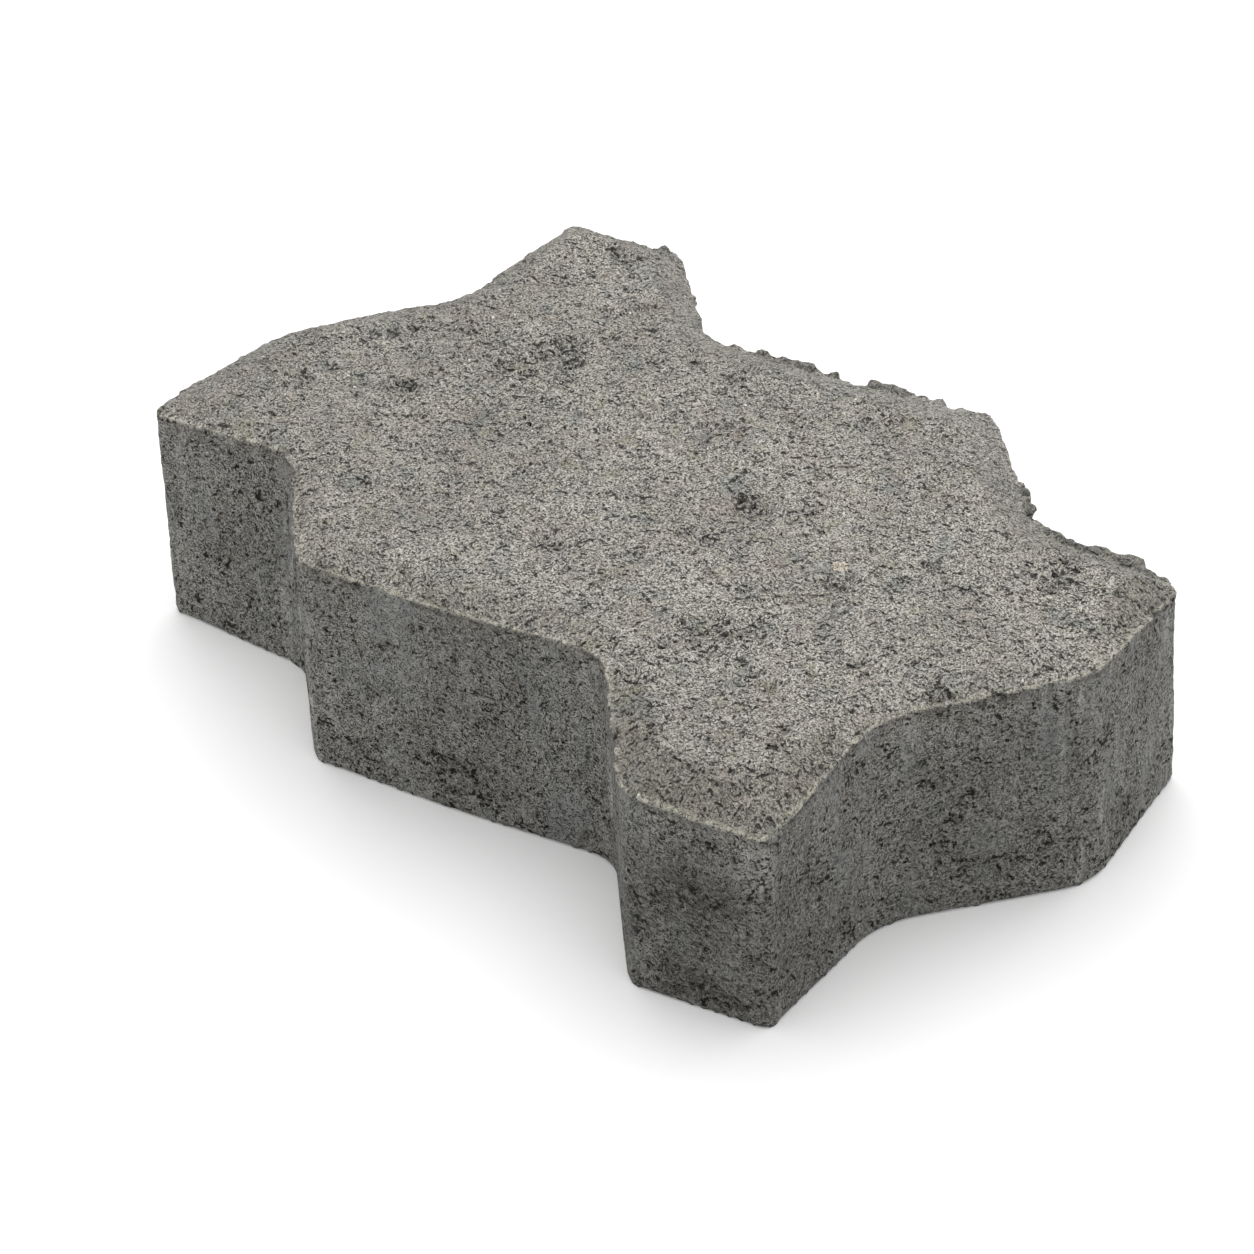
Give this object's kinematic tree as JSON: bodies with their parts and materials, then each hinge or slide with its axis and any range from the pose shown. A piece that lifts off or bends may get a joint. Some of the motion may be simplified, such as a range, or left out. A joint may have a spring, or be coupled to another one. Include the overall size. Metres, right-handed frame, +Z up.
{
  "type": "interlocking concrete paving stone",
  "caption": "Pressed concrete paving stone with zig-zag sides that lock with its neighbours, a flat bed face, a chamfered worn face and rounded corners",
  "frame": {"origin": "middle of the bed face, the flat underside that lies on the sand bed", "axes": "X runs along the stone, Y across it and Z up out of the worn face"},
  "size_m": [0.2246, 0.1476, 0.06],
  "materials": {
    "concrete": "rough grey pressed concrete"
  },
  "bodies": {
    "root": {"paving_stone": "concrete"}
  },
  "joints": []
}
